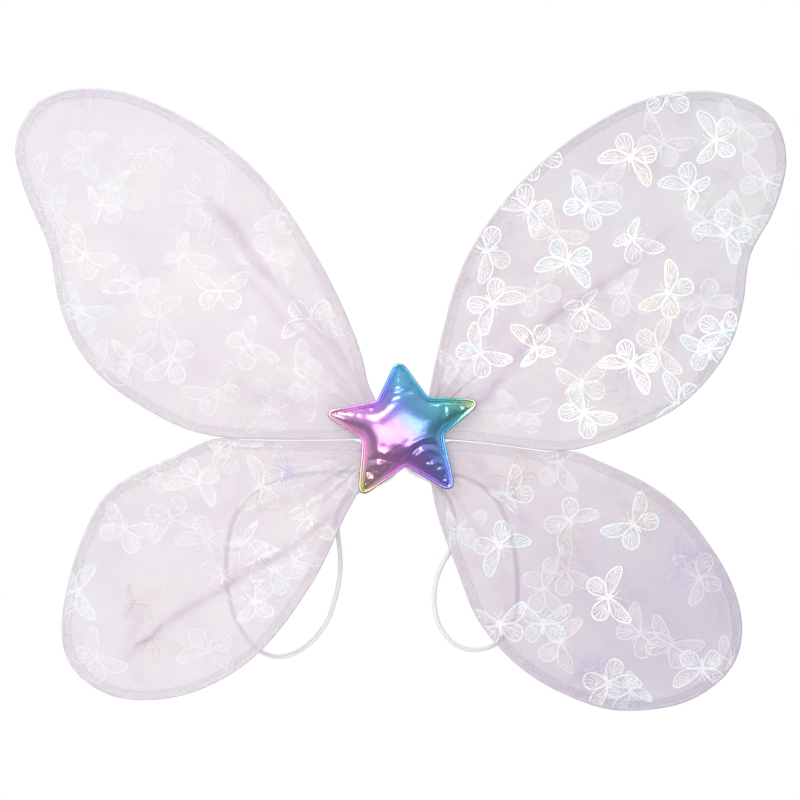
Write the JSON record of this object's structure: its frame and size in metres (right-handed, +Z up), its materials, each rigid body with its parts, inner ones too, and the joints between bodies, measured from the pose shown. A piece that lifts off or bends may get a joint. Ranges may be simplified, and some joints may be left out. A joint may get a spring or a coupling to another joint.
{
  "type": "fairy wings",
  "caption": "Wire-framed sheer organza butterfly wings that fold at a padded star hub, with elastic shoulder straps; a costume accessory.",
  "frame": {"origin": "centre of the back patch's outer face, which lies against the wearer's back", "axes": "+Z up as worn, +X across the wings to the right as seen from the star side, +Y from the star towards the wearer"},
  "size_m": [0.4789, 0.0595, 0.3881],
  "materials": {
    "coated_wire": "white plastic-coated spring steel wire, satin",
    "organza": "sheer pale lilac organza with an iridescent butterfly foil print",
    "organza_back": "the same sheer organza seen from its plain side, with the print showing through",
    "hem_cloth": "organza folded and stitched several layers deep, so pinker and less sheer",
    "felt": "white needle felt",
    "core_board": "stiff board",
    "foam_pad": "white foam pad",
    "stuffing": "polyester fibre",
    "star_foil": "creased metallic leatherette that runs from gold through pink, violet and blue to teal and green",
    "elastic": "white braided round elastic"
  },
  "bodies": {
    "hub": {"upper_left_wire_root": "coated_wire", "lower_left_wire_root": "coated_wire", "upper_right_wire_root": "coated_wire", "lower_right_wire_root": "coated_wire", "back_patch": "felt", "core_plate": "core_board", "front_pad": "foam_pad", "star_back": "felt", "star_stuffing": "stuffing", "star_cover": "star_foil", "left_strap": "elastic", "left_strap_root": "elastic", "right_strap": "elastic", "right_strap_root": "elastic"},
    "upper_left_wing": {"upper_left_wire": "coated_wire", "upper_left_front_organza": "organza", "upper_left_back_organza": "organza_back", "upper_left_hem": "hem_cloth", "upper_left_gather": "hem_cloth"},
    "lower_left_wing": {"lower_left_wire": "coated_wire", "lower_left_front_organza": "organza", "lower_left_back_organza": "organza_back", "lower_left_hem": "hem_cloth", "lower_left_gather": "hem_cloth"},
    "upper_right_wing": {"upper_right_wire": "coated_wire", "upper_right_front_organza": "organza", "upper_right_back_organza": "organza_back", "upper_right_hem": "hem_cloth", "upper_right_gather": "hem_cloth"},
    "lower_right_wing": {"lower_right_wire": "coated_wire", "lower_right_front_organza": "organza", "lower_right_back_organza": "organza_back", "lower_right_hem": "hem_cloth", "lower_right_gather": "hem_cloth"}
  },
  "joints": [
    {"name": "upper_left_fold", "type": "hinge", "parent": "hub", "child": "upper_left_wing", "pos_m": [-0.017, -0.007, 0], "axis": [0, 0, -1], "range_deg": [-4, 75]},
    {"name": "lower_left_fold", "type": "hinge", "parent": "hub", "child": "lower_left_wing", "pos_m": [-0.017, -0.007, 0], "axis": [0, 0, -1], "range_deg": [-9, 20]},
    {"name": "upper_right_fold", "type": "hinge", "parent": "hub", "child": "upper_right_wing", "pos_m": [0.017, -0.007, 0], "axis": [0, 0, 1], "range_deg": [-4, 75]},
    {"name": "lower_right_fold", "type": "hinge", "parent": "hub", "child": "lower_right_wing", "pos_m": [0.017, -0.007, 0], "axis": [0, 0, 1], "range_deg": [-9, 20]}
  ]
}
